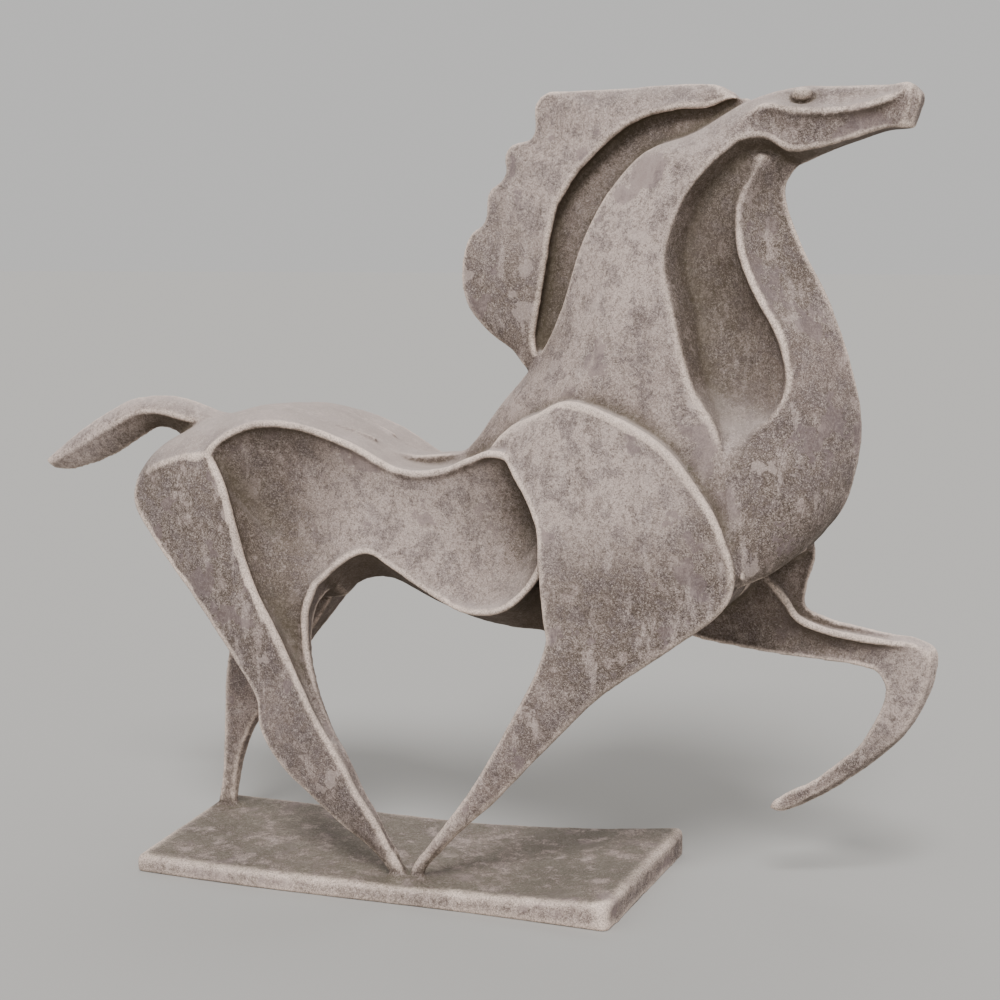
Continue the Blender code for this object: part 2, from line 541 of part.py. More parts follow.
def main():
    for old in list(bpy.data.objects):
        bpy.data.objects.remove(old, do_unlink=True)
    parts = collection("horse_statue")
    cutters = collection("cutters")

    bm = bmesh.new()
    horse_mesh(bm)
    eyes(bm)
    hoof_mounds(bm)
    plinth(bm)
    bmesh.ops.recalc_face_normals(bm, faces=bm.faces[:])
    mesh = bpy.data.meshes.new("horse_statue")
    bm.to_mesh(mesh)
    bm.free()
    statue = bpy.data.objects.new("horse_statue", mesh)
    statue.data.materials.append(stone())
    parts.objects.link(statue)

    span = 2 * (PLINTH_LENGTH + PLINTH_DEPTH)
    bpy.ops.mesh.primitive_cube_add(size=span, location=(0, 0, -span / 2))
    floor = bpy.context.object
    floor.name = "flat_underside"
    floor.hide_render = True
    floor.display_type = "WIRE"
    for group in list(floor.users_collection):
        group.objects.unlink(floor)
    cutters.objects.link(floor)

    fuse = statue.modifiers.new("fuse", "REMESH")
    fuse.mode = "VOXEL"
    fuse.voxel_size = GRAIN
    soften = statue.modifiers.new("soften", "SMOOTH")
    soften.factor = 0.5
    soften.iterations = SMOOTHING
    thin = statue.modifiers.new("thin", "DECIMATE")
    thin.ratio = FACES_KEPT
    flatten = statue.modifiers.new("flatten", "BOOLEAN")
    flatten.operation = "DIFFERENCE"
    flatten.object = floor


main()
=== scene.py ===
"""Looks of the stone horse statue: its fine carved surface, its weathered stone and a plain stage.

The forms are the solid's own, carried at a finer grain, so that their ridges, hollows and
eyes come out crisp. Metres, +Z up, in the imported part's frame.
"""

import bpy
import numpy as np
from mathutils import Matrix, Vector


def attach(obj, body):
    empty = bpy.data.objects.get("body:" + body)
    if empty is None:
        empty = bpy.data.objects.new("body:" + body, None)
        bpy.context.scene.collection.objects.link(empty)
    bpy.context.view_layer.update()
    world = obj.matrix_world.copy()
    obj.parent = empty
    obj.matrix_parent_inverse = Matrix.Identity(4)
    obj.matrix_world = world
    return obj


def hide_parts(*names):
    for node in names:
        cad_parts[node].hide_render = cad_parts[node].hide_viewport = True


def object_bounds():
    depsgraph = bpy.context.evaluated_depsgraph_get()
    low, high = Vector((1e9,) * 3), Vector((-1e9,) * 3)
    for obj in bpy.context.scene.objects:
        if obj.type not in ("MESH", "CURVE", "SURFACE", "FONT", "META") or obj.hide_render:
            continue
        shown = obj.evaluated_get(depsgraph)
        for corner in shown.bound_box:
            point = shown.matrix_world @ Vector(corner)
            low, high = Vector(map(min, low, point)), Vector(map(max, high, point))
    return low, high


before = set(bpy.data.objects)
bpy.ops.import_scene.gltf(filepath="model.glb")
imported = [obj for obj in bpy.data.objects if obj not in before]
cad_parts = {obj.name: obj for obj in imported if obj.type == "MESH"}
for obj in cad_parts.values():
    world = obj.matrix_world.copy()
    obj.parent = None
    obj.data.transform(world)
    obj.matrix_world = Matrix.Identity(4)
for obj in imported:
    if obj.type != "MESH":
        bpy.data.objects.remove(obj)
CAD_BOX = [list(corner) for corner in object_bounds()]

# Sizes of the statue, as the solid has them, in metres
HORSE_LENGTH = 0.490
PLINTH_LENGTH = 0.266
PLINTH_THICKNESS = 0.009
PLINTH_RISE = 0.0050
PLINTH_FLARE = 0.014
PLINTH_BOW = 0.006
PLINTH_TAIL_SKEW = -0.010
PLINTH_HEAD_SKEW = 0.003
PLINTH_WAVE = 0.0015
PLINTH_WAVE_SHIFT = 0.26
PLINTH_EDGE = 0.0033
PLINTH_TAIL_END = -0.129
PLINTH_NEAR_EDGE = 0.0635
PLINTH_FAR_EDGE = 0.0545
PLINTH_DEPTH = PLINTH_NEAR_EDGE + PLINTH_FAR_EDGE
UNDERCUT = 0.0012               # how far the plinth's block goes on below its underside
UNIT = HORSE_LENGTH / 490.0     # the horse is measured in shares of its length
GROUND = PLINTH_THICKNESS

# Fineness of the carved surface
GRAIN = 1.15 * UNIT
SMOOTHING = 6
TOOL_MARKS = 0.00022            # how far the hand-cut surface strays from the true form
TRIANGLES = 190000
PATH_STEP = 2.5
EDGE_CUTS = 10
BEAD_SIDES = 12
BALL_SIDES = 32
BALL_RINGS = 18
PLINTH_STATIONS = 90
PLINTH_CUTS = 7                 # points on each of its rounded edges

# Rounded edges, in units of the horse, and the wear that levels them
BEAD_DEPTH = 0.65               # how deep each is set into its corner, in its own radii
RIDGE = 2.2
ARC_RIDGE = 2.9
RIM = 1.8
WEAR = 0.55                     # share of each ridge and crease that wear has levelled
THIN_BELOW = 0.03               # but not on the thin feet, below this height
NEAR_ROUNDS = 10                # rounds of easing that tell a ridge from its surroundings
WIDE_ROUNDS = 110               # and a hollow from its wider surroundings
CALM_ROUNDS = 3

EYE_PLACE = (212, 12, 387)
EYE_RADII = (5.2, 5.6, 3.5)
LID_REACH = 1.22                # the groove below the eye, in the eye's radii
LID_WIDTH = 0.16
LID_DEPTH = 0.0006
LID_DARKENING = 2.0                  # and how deep it counts as sunk, for dirt and painted shadow below the eye, in millimetres
EYE_WORN = 0.35                 # how far the eye counts as standing out, in millimetres
EYE_BALL = 0.9                  # out to here, in its radii
EYE_SPARED = 0.7                # share of the wear that its place under the brow keeps off it
MOUNDS = ((26, -49, 13), (-120, 35, 9))
MOUND_HEIGHT = 2.5

# Middle and reach of the places painted paler, as painted light where the key falls fullest and as
# rain-washed stone: shoulder, neck, loin, shin, neck root and tail; and of those painted darker, as
# painted shade and as damp stain: lower shoulder, haunch, chest, mane root and throat
PAINTED_LIGHT_PLACES = (((0.075, -0.055, 0.205), 0.10), ((0.115, -0.05, 0.335), 0.11),
          ((0.0, -0.05, 0.185), 0.07), ((0.262, 0.01, 0.11), 0.05),
          ((0.15, -0.05, 0.22), 0.06), ((-0.19, 0.0, 0.225), 0.06))
PAINTED_SHADE_PLACES = (((0.13, -0.05, 0.145), 0.06), ((-0.10, -0.05, 0.165), 0.09),
           ((0.205, -0.03, 0.190), 0.07), ((0.065, 0.0, 0.300), 0.05),
           ((0.20, -0.02, 0.32), 0.06))
# And of those whose ridges are painted palest, as wear and as painted highlight, before the
# shoulder plate and down the haunch
WORN_AND_HIGHLIT_PLACES = (((0.12, -0.05, 0.235), 0.08), ((-0.085, -0.055, 0.165), 0.09))
FRAY = 0.04                     # how unevenly such a place ends
CORE = 0.3                      # share of its reach that it covers wholly
OCCLUSION_REACH = 0.055                 # how far off stone still darkens a place by ambient occlusion, as painted shade

# Camera, from the photograph's viewpoint
VIEW_AZIMUTH = 20.5
VIEW_ELEVATION = 7.5
VIEW_ANGLE = 30.0
VIEW_TARGET = Vector((0.058, 0.0, 0.198))
VIEW_DISTANCE = 0.955

# Light: each lamp's name, where it shines from, its softness in degrees and its strength
LAMPS = (("key", (0.25, -1.0, 1.15), 20, 2.9), ("fill", (-1.0, -0.8, 0.5), 50, 0.2),
         ("back", (-0.2, 1.0, 1.3), 40, 0.5))
SURROUNDINGS = 0.66
FLOOR_SIZE = 60.0
FLOOR_DROP = 0.0002             # keeps it clear of the plinth's underside


def both_sides(stations):
    """Close half rings into whole ones: the near half, then the far half back."""
    return [ring + [(x, -y, z) for x, y, z in reversed(ring) if y != 0] for ring in stations]


def along(values, knots, where):
    """Cubic curve through values at knots, slopes from the parabola through neighbours."""
    gaps = np.diff(knots)
    shape = (-1,) + (1,) * (values.ndim - 1)
    steps = np.diff(values, axis=0) / gaps.reshape(shape)
    before, after = gaps[:-1].reshape(shape), gaps[1:].reshape(shape)
    middle = (steps[:-1] * after + steps[1:] * before) / (before + after)
    slopes = np.concatenate([steps[:1], middle, steps[-1:]])
    k = np.clip(np.searchsorted(knots, where, side="right") - 1, 0, len(gaps) - 1)
    h = gaps[k].reshape(shape)
    t = ((where - knots[k]) / gaps[k]).reshape(shape)
    a, b = values[k], values[k + 1]
    return (a * (2 * t**3 - 3 * t**2 + 1) + b * (3 * t**2 - 2 * t**3)
            + slopes[k] * h * (t**3 - 2 * t**2 + t) + slopes[k + 1] * h * (t**3 - t**2))


def unit(vectors):
    return vectors / (np.linalg.norm(vectors, axis=-1, keepdims=True) + 1e-9)


def skin(points):
    """Closed body over a grid of rings: quads between rings and a fan over each end."""
    rows, around = points.shape[:2]
    hubs = points[[0, -1]].mean(axis=1)
    first = np.arange(around)
    a = np.arange(rows - 1)[:, None] * around + first
    b = np.arange(rows - 1)[:, None] * around + np.roll(first, -1)
    quads = np.stack([a, b, b + around, a + around], axis=2).reshape(-1, 4)
    faces = [tuple(q) for q in quads.tolist()]
    for hub, start in ((rows * around, 0), (rows * around + 1, (rows - 1) * around)):
        faces += [(start + i, start + (i + 1) % around, hub) for i in range(around)]
    return np.vstack([points.reshape(-1, 3), hubs]), faces


def bead(rail, inward, radius):
    """Rounded edge: a tube that stands a little proud of a corner and sinks as it thins."""
    forward = unit(np.gradient(rail, axis=0))
    across = unit(np.cross(forward, inward))
    inward = np.cross(across, forward)
    turn = np.linspace(0, 2 * np.pi, BEAD_SIDES, endpoint=False).reshape(1, -1, 1)
    radius = np.maximum(radius, 0.05).reshape(-1, 1, 1)
    centre = rail + inward * (BEAD_DEPTH * radius + radius.max() - radius)[:, 0]
    spokes = np.cos(turn) * inward[:, None] + np.sin(turn) * across[:, None]
    return skin(centre[:, None] + radius * spokes)


def loft(stations, swell, beads):
    """Closed body through rings of corners, and the beads along its corners.

    Each corner runs on a smooth curve from ring to ring. Each side of a ring is
    an arc between its corners, whose rise, out of the body, is read from swell:
    one value a side, or one row of them a station. Beads holds the radius of the
    rounded edge at each corner in the same way, 0 where the corner has none.
    """
    rings = np.array(stations, float)
    full = np.ones(rings.shape[:2])
    chords = np.linalg.norm(np.diff(rings, axis=0), axis=2).mean(axis=1)
    knots = np.concatenate([[0], np.cumsum(chords)])
    where = np.linspace(0, knots[-1], int(np.ceil(knots[-1] / PATH_STEP)) + 1)
    ring = along(rings, knots, where)
    rise = along(np.array(swell, float) * full, knots, where)
    radii = along(np.array(beads, float) * full, knots, where)
    forward = np.gradient(ring, axis=0)

    following = np.roll(ring, -1, axis=1)
    outward = unit(np.cross(following - ring, forward + np.roll(forward, -1, axis=1)))
    centre = ring.mean(axis=1, keepdims=True)
    side = np.sign(np.sum(outward * ((ring + following) / 2 - centre), axis=2, keepdims=True))
    outward *= side

    t = (np.arange(EDGE_CUTS) / EDGE_CUTS).reshape(1, 1, -1, 1)
    points = (ring[:, :, None] * (1 - t) + following[:, :, None] * t
              + outward[:, :, None] * rise[:, :, None, None] * 4 * t * (1 - t))
    bodies = [skin(points.reshape(len(where), -1, 3))]
    inward = unit(unit(following - ring) + unit(np.roll(ring, 1, axis=1) - ring))
    for corner in np.flatnonzero(radii.max(axis=0) > 0):
        bodies.append(bead(ring[:, corner], inward[:, corner], radii[:, corner]))
    return bodies


def slab_between(outer, inner, outer_back, inner_back):
    """Rings of a band: its face runs from the outer to the inner rail, its back behind."""
    return [
        [o, i, (i[0], ib, i[2]), (o[0], ob, o[2])]
        for o, i, ob, ib in zip(outer, inner, outer_back, inner_back)
    ]


def near_flank():
    """Hollow face from the near hind hoof, up the thigh and along the belly to the shoulder."""
    outer = [
        (24, -52, -4), (23, -52, 3), (17, -53, 15), (10, -55, 29), (1, -56, 42), (-8, -56, 57),
        (-20, -56, 75), (-31, -55, 94), (-44, -54, 119), (-61, -52, 148), (-71, -50, 175),
        (-79, -48, 199), (-86, -46, 213), (-76, -45, 222), (-61, -44, 228), (-38, -42, 228),
        (-12, -38, 220), (14, -34, 207), (38, -33, 207), (56, -37, 214), (68, -41, 218),
        (80, -41, 216), (91, -38, 211), (100, -34, 205),
    ]
    inner = [
        (27, -47, -4), (25, -47, 4), (16.5, -48, 13), (8.5, -48, 24), (0.5, -48, 38), (-8, -47, 53),
        (-17, -46, 71), (-26, -44, 90), (-32, -42, 112), (-33, -41, 131), (-30, -40, 141),
        (-28, -38, 146), (-25, -37, 149), (-21, -36, 153), (-16, -36, 157), (-8, -35, 162),
        (0, -34, 163), (11, -34, 157), (35, -36, 144), (57, -41, 137), (75, -45, 140),
        (86, -46, 148), (94, -46, 159), (97, -44, 171),
    ]
    back = [-46, -46, -45, -45, -44, -43, -41, -39, -35, -28, -15, -5] + [0] * 12
    sag = [0, 0, 1, 1.5, 2, 2.5, 3, 4, 6, 8, 10, 12, 13, 13, 12, 10, 6, 4, 6, 11, 16, 18, 17, 14]
    rim = [RIM] * 3 + [RIDGE] * 21
    return loft(slab_between(outer, inner, back, back), [[-s, 0, 0, 0] for s in sag],
                [[r, r, 0, 0] for r in rim])


def far_flank():
    """The same hollow face on the far side, with its leg stepping back."""
    outer = [
        (-121, 36, -4), (-121, 36, 3), (-118.3, 38, 20), (-114.5, 40, 40), (-109.5, 42, 62),
        (-102, 44, 82), (-94, 46, 100), (-85, 48, 125), (-80, 50, 150), (-80, 50, 175),
        (-83, 48, 199), (-86, 46, 213), (-76, 45, 222), (-61, 44, 228), (-38, 42, 228),
        (-12, 38, 220), (14, 34, 207), (38, 33, 207), (56, 37, 214), (68, 41, 218),
        (84, 40, 214), (100, 34, 210),
    ]
    inner = [
        (-116, 33, -4), (-116, 33, 3), (-114.5, 34, 16), (-110.5, 35, 34), (-102, 36, 52),
        (-92, 36, 66), (-85, 37, 78), (-69, 38, 100), (-53, 38, 120), (-40, 38, 136),
        (-33, 38, 145), (-25, 37, 149), (-21, 36, 153), (-16, 36, 157), (-8, 35, 162),
        (0, 34, 163), (11, 34, 157), (35, 36, 144), (57, 40, 138), (76, 42, 140),
        (88, 40, 151), (98, 36, 166),
    ]
    back = [29, 29, 29, 29, 29, 29, 28, 26, 20, 10, 4] + [0] * 11
    sag = [0, 0, 1, 1, 1.5, 2, 3, 5, 8, 10, 12, 13, 13, 12, 10, 6, 4, 6, 8, 11, 15, 15]
    return loft(slab_between(outer, inner, back, back), [[-s, 0, 0, 0] for s in sag],
                [RIDGE, RIDGE, 0, 0])


def near_haunch():
    """Flat back face of the near haunch and leg, from the rump's edge to its ridge."""
    edge = [
        (-135, -34, 196), (-134.7, -38, 186), (-120.5, -42, 165), (-97, -45, 138), (-72, -47, 106),
        (-58, -48, 85), (-56, -49, 70), (-43, -49, 51), (-27, -49, 38), (-10, -49, 25),
        (8, -49, 13), (19, -50, 0), (20, -50, -4),
    ]
    ridge = [
        (-86, -46, 213), (-79, -48, 199), (-71, -50, 175), (-61, -52, 148), (-44, -54, 119),
        (-31, -55, 94), (-20, -56, 75), (-8, -56, 57), (1, -56, 42), (10, -55, 29),
        (17, -53, 15), (23, -52, 3), (24, -52, -4),
    ]
    back = [0, 0, -8, -18, -30, -37, -40, -42, -44, -45, -45, -46, -46]
    return loft(slab_between(edge, ridge, back, back), [1, 0, 0, 0], [RIDGE, 0, 0, 0])


def far_haunch():
    """Back face of the far haunch, down to its upright cannon."""
    edge = [
        (-135, 34, 196), (-136, 38, 186), (-134, 41, 165), (-123, 42, 138), (-115, 41, 112),
        (-117.5, 40, 90), (-120.3, 38, 77), (-121.3, 37, 56), (-122.3, 36, 30),
        (-123.7, 35, 14), (-126, 35, 0), (-126, 35, -4),
    ]
    ridge = [
        (-86, 46, 213), (-83, 48, 199), (-80, 50, 175), (-80, 50, 150), (-85, 48, 125),
        (-94, 46, 100), (-102, 44, 82), (-109.5, 42, 62), (-114.5, 40, 40), (-118.3, 38, 20),
        (-121, 36, 3), (-121, 36, -4),
    ]
    back = [0, 0, 4, 12, 22, 28, 29, 29, 29, 29, 29, 29]
    return loft(slab_between(edge, ridge, back, back), [1, 0, 0, 0], [RIDGE, 0, 0, 0])


def torso():
    """Rump, croup and loin above, belly below: crown, crease, top and lower ridge, keel."""
    half = [
        [(-147, 0, 191), (-145, -15, 193), (-135, -34, 196), (-134, -34, 184), (-144, 0, 178)],
        [(-136, 0, 208), (-133, -17, 209), (-124, -38, 202), (-118, -34, 165), (-120, 0, 150)],
        [(-118, 0, 221), (-112, -18, 221), (-104, -42, 209), (-80, -34, 155), (-80, 0, 136)],
        [(-96, 0, 229), (-92, -22, 227), (-86, -46, 213), (-27, -34, 149), (-30, 0, 133)],
        [(-76, 0, 234), (-74, -22, 232), (-75, -45, 222), (-20, -33, 155), (-26, 0, 138)],
        [(-58, 0, 235), (-58, -22, 234), (-60, -44, 228), (-14, -33, 160), (-20, 0, 142)],
        [(-36, 0, 232), (-38, -20, 230), (-37, -42, 228), (-6, -32, 163), (-14, 0, 144)],
        [(-16, 0, 223), (-14, -14, 221), (-12, -38, 220), (0, -31, 163), (-8, 0, 145)],
        [(4, 0, 213), (8, -9, 212), (14, -34, 207), (11, -31, 158), (2, 0, 143)],
        [(24, 0, 211.5), (28, -8, 212), (38, -33, 207), (35, -33, 145), (25, 0, 133)],
        [(42, 0, 215), (44, -8, 215), (56, -37, 214), (57, -36, 139), (46, 0, 126)],
        [(62, 0, 228), (64, -12, 227), (74, -38, 218), (76, -36, 140), (65, 0, 123)],
        [(85, 0, 246), (88, -15, 245), (95, -38, 225), (92, -32, 150), (84, 0, 122)],
        [(110, 0, 246), (112, -15, 245), (115, -34, 232), (110, -36, 146), (112, 0, 121)],
        [(150, 0, 235), (150, -15, 233), (150, -34, 215), (150, -42, 146), (150, 0, 132)],
        [(190, 0, 220), (190, -15, 218), (190, -32, 200), (187, -40, 162), (184, 0, 152)],
    ]
    groove = [1, 2, 2, 2, 2, 2, 1, -2, -6, -8, -6, 0, 0, 0, 0, 0]
    waist = [-2, -4, -10, -18, -18, -17, -15, -12, -10, -12, -18, -22, -22, -14, -10, -6]
    swell = [[0.3, g, w, 0, 0, w, g, 0.3] for g, w in zip(groove, waist)]
    shelf = [0.8, 1.3, 1.3, 1.2] + [0] * 12
    crease = [0] * 7 + [0.5, 1, 1, 0.8, 0] + [0] * 4
    beads = [[0, RIM * c, RIDGE * t, 0, 0, 0, RIDGE * t, RIM * c]
             for t, c in zip(shelf, crease)]
    return loft(both_sides(half), swell, beads)


def shoulder(rear, front, back):
    """Flat shoulder plate between its rear and its front edge."""
    fade = [0, 0.6] + [1] * (len(rear) - 2)
    return loft(slab_between(rear, front, back, back), [1.5, 0, 0, 0],
                [[RIDGE * f, ARC_RIDGE * f, 0, 0] for f in fade])


PLATE_REAR = [
    (64, -34, 218), (72, -38, 216), (80, -44, 209), (87, -48, 200), (93, -51, 190),
    (96, -52, 183), (97, -53, 174), (98, -53, 159), (99, -53, 147), (100, -52, 136),
]
PLATE_FRONT = [
    (78, -31, 232), (91, -38, 237), (107, -45, 243), (136, -51, 236), (161, -52, 221),
    (171, -52, 209), (181, -52, 195), (187, -51, 181), (191, -49, 168), (189, -48, 154),
]


def near_foreleg():
    """Near shoulder plate, tapering back and down into the planted foreleg."""
    rear = PLATE_REAR + [
        (101, -52, 127), (95, -52, 110), (80, -52, 81), (60, -52, 47), (39, -51, 18),
        (29, -50, 2), (29, -50, -4),
    ]
    front = PLATE_FRONT + [
        (161, -49, 129), (131, -50, 107), (103, -50, 79), (73.5, -50, 47), (46.5, -50, 21),
        (33, -49, 2), (33, -49, -4),
    ]
    back = [0] * 9 + [-6, -20, -34, -38, -41, -43, -44, -44]
    return shoulder(rear, front, back)


def far_shoulder():
    """Far shoulder plate, rounded off below, where the raised foreleg leaves it."""
    rear = [(x, -y, z) for x, y, z in PLATE_REAR] + [(110, 46, 128)]
    front = [(x, -y, z) for x, y, z in PLATE_FRONT] + [(165, 44, 132)]
    return shoulder(rear, front, [0] * 11)


def raised_foreleg():
    """Far foreleg lifted forward, bent at the knee: upper edge, ridge, lower edge, far side."""
    rings = [
        [(200, 30, 195), (175, 12, 160), (148, 26, 122), (170, 46, 170)],
        [(216, 24, 168), (194, 10, 154), (160, 24, 119), (192, 44, 150)],
        [(212.5, 22, 150), (204, 10, 145), (178, 22, 117), (200, 42, 138)],
        [(212, 22, 140), (210, 12, 136), (195, 22, 115), (207, 40, 131)],
        [(222, 23, 135), (220, 14, 131), (210, 22, 114), (219, 39, 127)],
        [(237, 24, 131.5), (236, 16, 127.5), (229, 22, 113), (235, 38, 124)],
        [(254, 25, 128.5), (253, 18, 125.5), (243, 23, 111), (250, 37, 121)],
        [(268, 26, 126.5), (267, 20, 124), (249, 24, 108), (262, 37, 119)],
        [(276, 27, 122), (273, 21, 120), (252, 24, 103), (266, 37, 114)],
        [(276, 28, 109), (273, 22, 109), (252, 25, 96), (265, 37, 104)],
        [(271.5, 29, 95), (269, 23, 95), (248, 25, 85), (261, 37, 91)],
        [(263.5, 30, 80), (262, 24, 80), (240.5, 26, 71), (253, 36, 77)],
        [(250, 30, 65), (247, 25, 66), (226, 27, 57), (239, 36, 62)],
        [(236, 30, 53), (233, 26, 54), (214, 27, 47), (225, 35, 50)],
        [(222, 31, 43), (219, 26, 44), (206, 27, 43), (213, 35, 43)],
        [(207, 31, 34), (205, 27, 35), (201, 28, 40), (205, 34, 37)],
        [(198, 31, 31), (197, 28, 32), (196, 28, 36), (198, 32, 33)],
        [(194, 30, 32), (194, 29, 33), (194, 29, 34), (194, 31, 33)],
    ]
    sag = [0, 0, 3, 4, 4, 3, 2, 0] + [-0.5] * 5 + [0] * 5
    hoof = [1] * 16 + [0.9, 0.6]
    ridge = [1.2] * 6 + [1.1, 0.9, 0.6] + [0.35] * 7 + [0.3, 0.3]
    return loft(rings, [[-s * 0.8, -s, 0, 0] for s in sag],
                [[RIM * h, RIM * r, RIM * h, RIM * h] for h, r in zip(hoof, ridge)])


def neck_and_head():
    """Band from the withers up the neck into the head: crest, cheek and jaw edges, underside."""
    half = [
        [(30, -6, 204), (114, -44, 213), (196, -45, 162), (200, 0, 175)],
        [(46, -8, 219), (112, -43, 233), (192, -44, 200), (200, 0, 200)],
        [(62, -10, 239), (113, -40, 247), (180, -40, 232), (190, 0, 230)],
        [(81, -12, 260), (119, -38, 264), (167, -38, 253), (178, 0, 253)],
        [(96, -19, 284), (127, -36, 288), (157, -36, 288), (168, 0, 288)],
        [(109, -21, 321), (133, -32, 318), (152, -32, 313), (162, 0, 313)],
        [(122, -20, 344), (143, -28, 339), (158, -29, 336), (168, 0, 334)],
        [(140, -17, 363), (157, -25, 358), (170, -27, 354), (178, 0, 350)],
        [(160, -15, 370), (172, -21, 367), (177, -24, 361), (188, 0, 356)],
        [(182, -10, 383), (187, -18, 377), (185, -21, 367), (194, 0, 357)],
        [(194, -8, 388), (195, -17, 382), (195, -17, 368), (200, 0, 356)],
        [(210, -8, 391), (208, -16.5, 380), (207, -14, 362), (209, 0, 355)],
        [(223, -7, 391), (222, -15.5, 379), (219, -12, 363), (219, 0, 359)],
        [(241, -6, 391), (242, -13.5, 381), (234, -10, 367), (232, 0, 364)],
        [(253, -7, 391), (254, -12.5, 385), (250, -8, 371), (250, 0, 370)],
        [(261, -7, 391.7), (261, -10, 388), (259, -8, 371), (259, 0, 371)],
        [(266, -5, 387), (266, -7, 383), (262, -6, 371), (262, 0, 371)],
    ]
    crest = [0, 0, 0.5, 1, 1, 1, 1, 0.8, 0.4, 0, 0.4, 0.6, 0.6, 0.6, 0.6, 0.4, 0]
    cheek = [0] * 8 + [0.5, 0.9, 1.2, 1.2, 1.2, 1.2, 1, 0.5, 0]
    jaw = [0, 0, 0.2, 0.7, 0.7, 0.7, 0.8] + [1] * 7 + [0.8, 0.3, 0]
    beads = [[RIM * c, RIM * h, RIDGE * j, 0, RIDGE * j, RIM * h, RIM * c]
             for c, h, j in zip(crest, cheek, jaw)]
    round_off = [1, 2, 3, 2, 1, 0.5, 0.5, 0.5, 0.5, 0] + [-0.6] * 5 + [0.5, 0.5]
    face = [2, 3, 2, 2] + [1] * 5 + [0] + [-1.4] * 5 + [0, 0]
    return loft(both_sides(half), [[n, f, 0, 0, f, n, 0] for n, f in zip(round_off, face)], beads)


def muzzle_rims():
    """Raised edge around each side of the muzzle, from the nose down to the chin."""
    rail = np.array([(260, -7, 391), (261.5, -9.5, 388.5), (262, -9.5, 384), (260.5, -9, 378),
                     (258, -8, 371)], float)
    inward = np.tile([-1.0, 0.6, 0.0], (len(rail), 1))
    flip = np.array([1.0, -1.0, 1.0])
    radii = np.full(len(rail), RIM)
    return [bead(rail, inward, radii), bead(rail * flip, inward * flip, radii)]


def prow():
    """Throat and chest: the hollow's bed, the S-shaped ridge and the front keel."""
    half = [
        [(181, -14, 362), (194, -12, 360), (209, 0, 357)],
        [(158, -18, 341), (185, -17, 337), (202, 0, 343)],
        [(149, -20, 316), (187, -22, 315), (210, 0, 319)],
        [(150, -22, 292), (195, -25, 297), (224, 0, 292)],
        [(157, -25, 269), (209, -27, 272), (234.5, 0, 264)],
        [(164, -28, 252), (212, -28, 251), (240, 0, 242)],
        [(171, -33, 241), (206, -31, 238), (241, 0, 229)],
        [(178, -38, 231), (195, -35, 229), (240, 0, 217)],
        [(178, -41, 220), (188, -41, 220), (238, 0, 207)],
        [(184, -43, 200), (194, -43, 201), (234, 0, 195)],
        [(188, -44, 181), (197, -43, 182), (228, 0, 186)],
        [(188, -45, 160), (196, -42, 163), (219, 0, 177)],
        [(150, -42, 146), (160, -22, 148), (170, 0, 152)],
    ]
    hollow = [-2, -5, -9, -11, -11, -9, -6, -2, 0, 0, 0, 0, 0]
    front = [0, -1.5, -2, -1, 1, 3, 5, 8, 10, 10, 8, 4, 0]
    crease = [0, 0.7, 1, 1, 1, 1, 0.9, 0.6, 0, 0, 0, 0, 0]
    keel = [1] * 12 + [0]
    beads = [[0, RIDGE * c, RIDGE * k, RIDGE * c, 0] for c, k in zip(crease, keel)]
    return loft(both_sides(half), [[h, f, f, h, 0] for h, f in zip(hollow, front)], beads)


def mane():
    """Upright mane plate with stepped locks down its back edge: back edge, groove edge."""
    half = [
        [(177, -3, 388), (180, -8, 386)],
        [(171, -4, 392), (176, -8, 386)],
        [(162, -4, 393.4), (170, -9, 384)],
        [(130, -5, 392.3), (153, -11, 383)],
        [(97, -5, 391.3), (133, -13, 378)],
        [(83, -5, 391), (124, -14, 373)],
        [(79, -5, 387), (119, -14, 369)],
        [(78, -5, 372), (109, -14, 360)],
        [(76, -5, 369), (106, -14, 357)],
        [(67, -5, 367), (104, -14, 355)],
        [(63, -5, 363), (100, -14, 350)],
        [(63, -5, 352), (94, -14, 341)],
        [(61, -5, 349), (92, -14, 338)],
        [(56, -5, 346), (91, -14, 335)],
        [(53, -5, 341), (89, -14, 326)],
        [(52, -5, 330), (87, -14, 316)],
        [(50, -5, 327), (87, -14, 313)],
        [(45, -5, 324), (86, -14, 310)],
        [(40.5, -5, 313), (85, -14, 303)],
        [(39.5, -5, 298), (83, -14, 291)],
        [(44.5, -5, 285), (81, -14, 279)],
        [(54, -5, 275), (80, -13, 273)],
        [(66, -6, 267), (81, -12, 265)],
        [(74, -6, 258), (86, -11, 256)],
        [(85, -6, 245), (95, -11, 246)],
    ]
    lip = [0.3, 0.5, 0.8] + [1] * (len(half) - 3)
    return loft(both_sides(half), [1, 0, 1, 0],
                [[RIM, RIDGE * k, RIDGE * k, RIM] for k in lip])


def crest_groove():
    """Bed of the crescent groove between the mane and the neck, shallower at the neck."""
    half = [
        [(184, -3, 387), (192, -7, 379)],
        [(173, -3, 386), (186, -8, 372)],
        [(148, -4, 386), (169, -9, 362)],
        [(126, -5, 380), (149, -10, 353)],
        [(109, -5, 369), (131, -11, 337)],
        [(97, -5, 357), (118, -12, 315)],
        [(83, -5, 336), (110, -12, 295)],
        [(77, -5, 312), (104, -11, 278)],
        [(68, -6, 292), (96, -11, 264)],
        [(66, -8, 274), (91, -11, 253)],
        [(72, -10, 260), (88, -11, 246)],
    ]
    return loft(both_sides(half), [-1.5, 0, -1.5, 0], 0)


